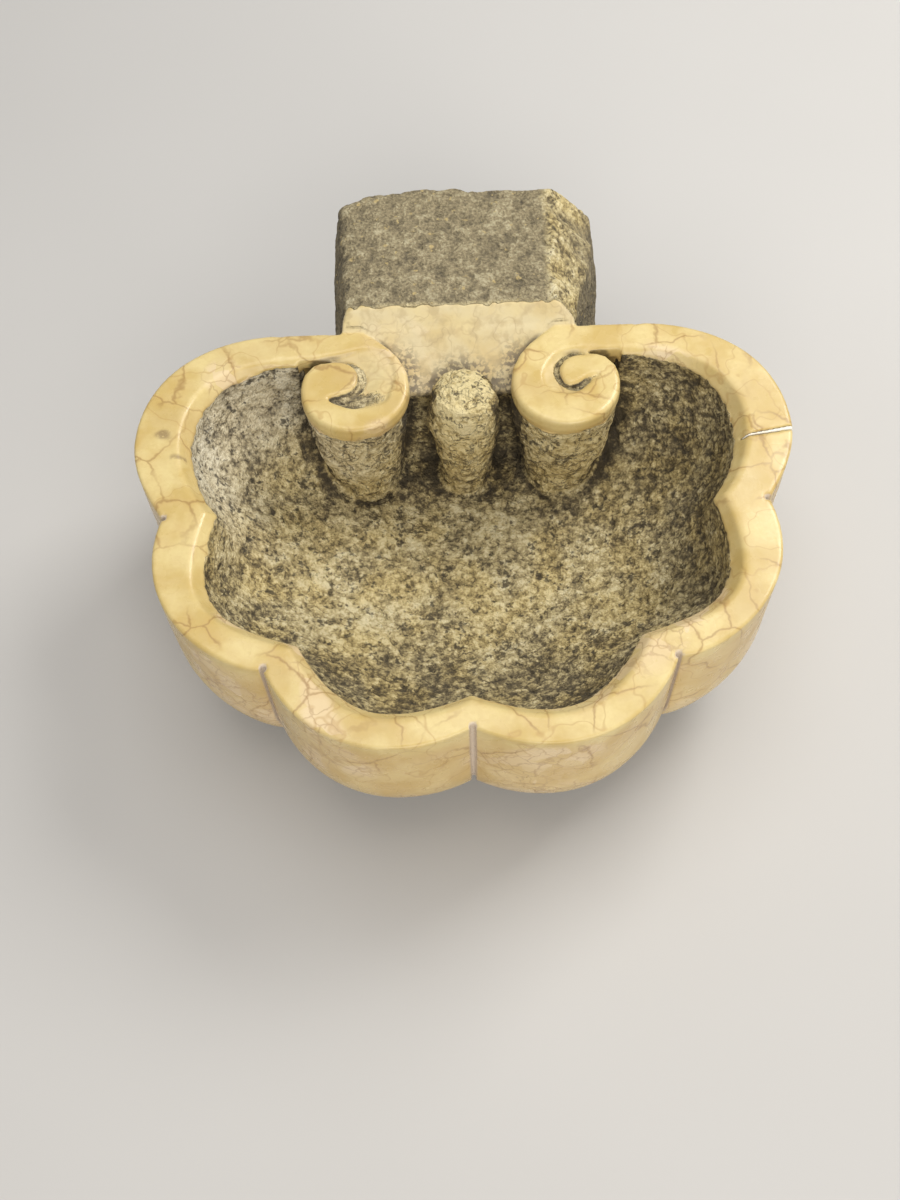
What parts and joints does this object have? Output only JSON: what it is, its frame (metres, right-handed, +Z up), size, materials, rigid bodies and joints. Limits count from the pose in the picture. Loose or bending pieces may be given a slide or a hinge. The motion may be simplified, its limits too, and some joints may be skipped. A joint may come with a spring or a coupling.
{
  "type": "wall stoup",
  "caption": "Carved marble wall basin with a lobed shell rim, scrolled volutes, a central bud and a rough wall tenon.",
  "frame": {"origin": "centre of the bounding box, at the flat underside that the basin stands on", "axes": "+Z up, -Y towards the front lobes, +Y towards the wall tenon, +X to the right seen from the front"},
  "size_m": [0.365, 0.3672, 0.139],
  "materials": {
    "marble": "polished yellow marble with red-brown veins, pecked and soiled inside the bowl",
    "pecked_marble": "rough point-chiselled yellow marble with grey dirt in the hollows",
    "white_filler": "matt white stone filler"
  },
  "bodies": {
    "root": {"basin": "marble", "left_volute": "marble", "right_volute": "marble", "centre_bud": "pecked_marble", "wall_tenon": "pecked_marble", "rim_crack_fill": "white_filler"}
  },
  "joints": []
}
